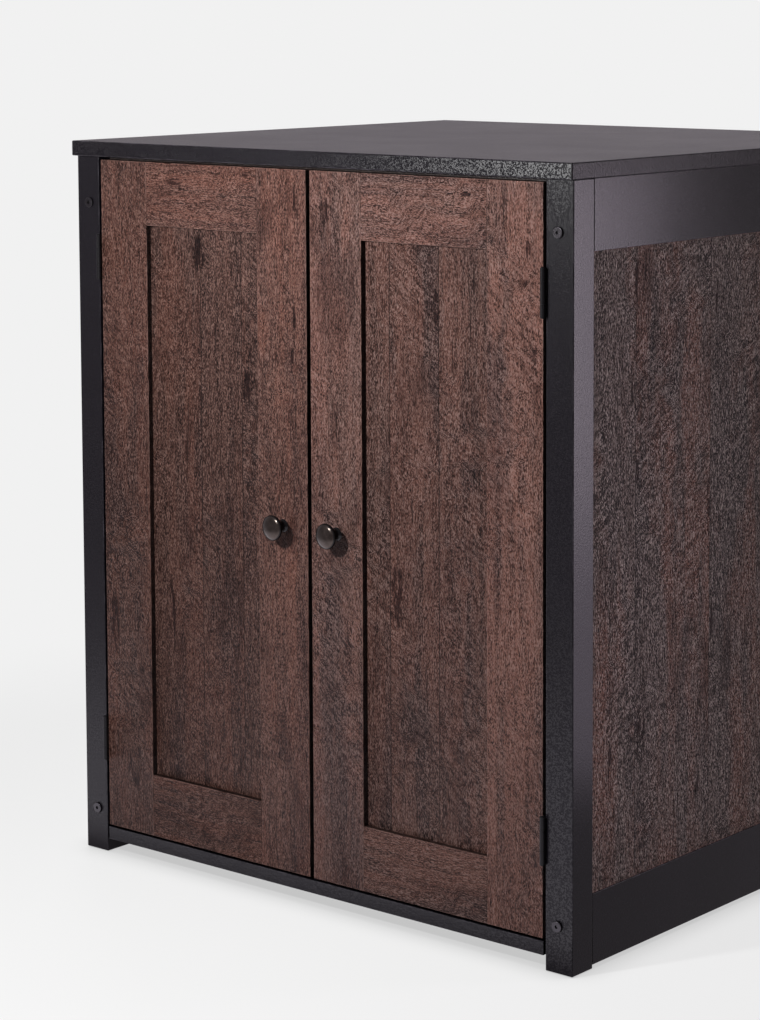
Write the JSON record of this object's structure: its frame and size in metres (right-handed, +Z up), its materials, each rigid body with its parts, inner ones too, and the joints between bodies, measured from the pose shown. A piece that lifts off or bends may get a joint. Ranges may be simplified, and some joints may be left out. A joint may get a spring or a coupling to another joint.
{
  "type": "computer armoire",
  "caption": "Two-door post-and-rail computer armoire with framed door panels, mushroom knobs, flat overhanging top and a keyboard tray inside.",
  "frame": {"origin": "on the floor under the middle of the bounding box: midway across the top, and midway between the faces of the knobs and the back edge of the top", "axes": "+Z up, -Y towards the user who faces the doors, +X to that user's right"},
  "size_m": [0.79, 0.757, 0.914],
  "materials": {
    "door_wood": "dark red-brown weathered oak grain, satin",
    "side_wood": "dark grey-brown weathered oak grain, satin",
    "frame_black": "charcoal laminate, satin",
    "top_black": "charcoal laminate with a fine pebble texture",
    "interior_board": "dark laminated board, matt",
    "dowel_beech": "plain beech",
    "knob_metal": "dark gunmetal, satin",
    "black_metal": "black, satin",
    "black_plastic": "black nylon",
    "zinc_steel": "zinc plated"
  },
  "bodies": {
    "cabinet": {"adjustable_shelf": "interior_board", "back_left_post": "frame_black", "back_lower_rail": "interior_board", "back_panel": "interior_board", "back_panel_screws": "zinc_steel", "back_right_post": "frame_black", "back_upper_rail": "interior_board", "barrel_nuts": "zinc_steel", "batten_screws": "zinc_steel", "bottom_panel": "frame_black", "cabinet_screws": "zinc_steel", "cable_grommets": "black_plastic", "corner_brackets": "zinc_steel", "cpu_divider": "interior_board", "dowels": "dowel_beech", "fixed_shelf": "interior_board", "floor_glides": "black_plastic", "frame_bolts": "black_metal", "front_left_post": "frame_black", "front_right_post": "frame_black", "front_top_rail": "interior_board", "hinge_frame_leaves": "black_metal", "hinge_pins": "black_metal", "left_lower_rail": "frame_black", "left_side_panel": "side_wood", "left_slide_batten": "interior_board", "left_upper_rail": "frame_black", "magnetic_catches": "black_plastic", "right_lower_rail": "frame_black", "right_side_panel": "side_wood", "right_slide_batten": "interior_board", "right_upper_rail": "frame_black", "shelf_pins": "zinc_steel", "slide_outer_members": "zinc_steel", "top_panel": "top_black"},
    "left_door": {"left_door_bottom_rail": "door_wood", "left_door_hinge_leaves": "black_metal", "left_door_hinge_stile": "door_wood", "left_door_knob": "knob_metal", "left_door_knob_screw": "zinc_steel", "left_door_latch_stile": "door_wood", "left_door_panel": "door_wood", "left_door_screws": "zinc_steel", "left_door_strike_plate": "zinc_steel", "left_door_top_rail": "door_wood"},
    "right_door": {"right_door_bottom_rail": "door_wood", "right_door_hinge_leaves": "black_metal", "right_door_hinge_stile": "door_wood", "right_door_knob": "knob_metal", "right_door_knob_screw": "zinc_steel", "right_door_latch_stile": "door_wood", "right_door_panel": "door_wood", "right_door_screws": "zinc_steel", "right_door_strike_plate": "zinc_steel", "right_door_top_rail": "door_wood"},
    "keyboard_tray": {"keyboard_tray": "interior_board", "tray_sides": "interior_board", "tray_screws": "zinc_steel", "slide_inner_members": "zinc_steel"},
    "slide_middle": {"slide_middle_members": "zinc_steel"}
  },
  "joints": [
    {"name": "left_door_hinge", "type": "hinge", "parent": "cabinet", "child": "left_door", "pos_m": [-0.352, -0.358, 0.464], "axis": [0, 0, -1], "range_deg": [0, 175]},
    {"name": "right_door_hinge", "type": "hinge", "parent": "cabinet", "child": "right_door", "pos_m": [0.352, -0.358, 0.464], "axis": [0, 0, 1], "range_deg": [0, 175]},
    {"name": "tray_slide", "type": "slide", "parent": "cabinet", "child": "keyboard_tray", "axis": [0, -1, 0], "range_m": [0, 0.3]},
    {"name": "slide_middle_travel", "type": "slide", "parent": "cabinet", "child": "slide_middle", "axis": [0, -1, 0], "range_m": [0, 0.15]}
  ],
  "couplings": [
    {"joint": "slide_middle_travel", "follows": "tray_slide", "ratio": 0.5}
  ]
}
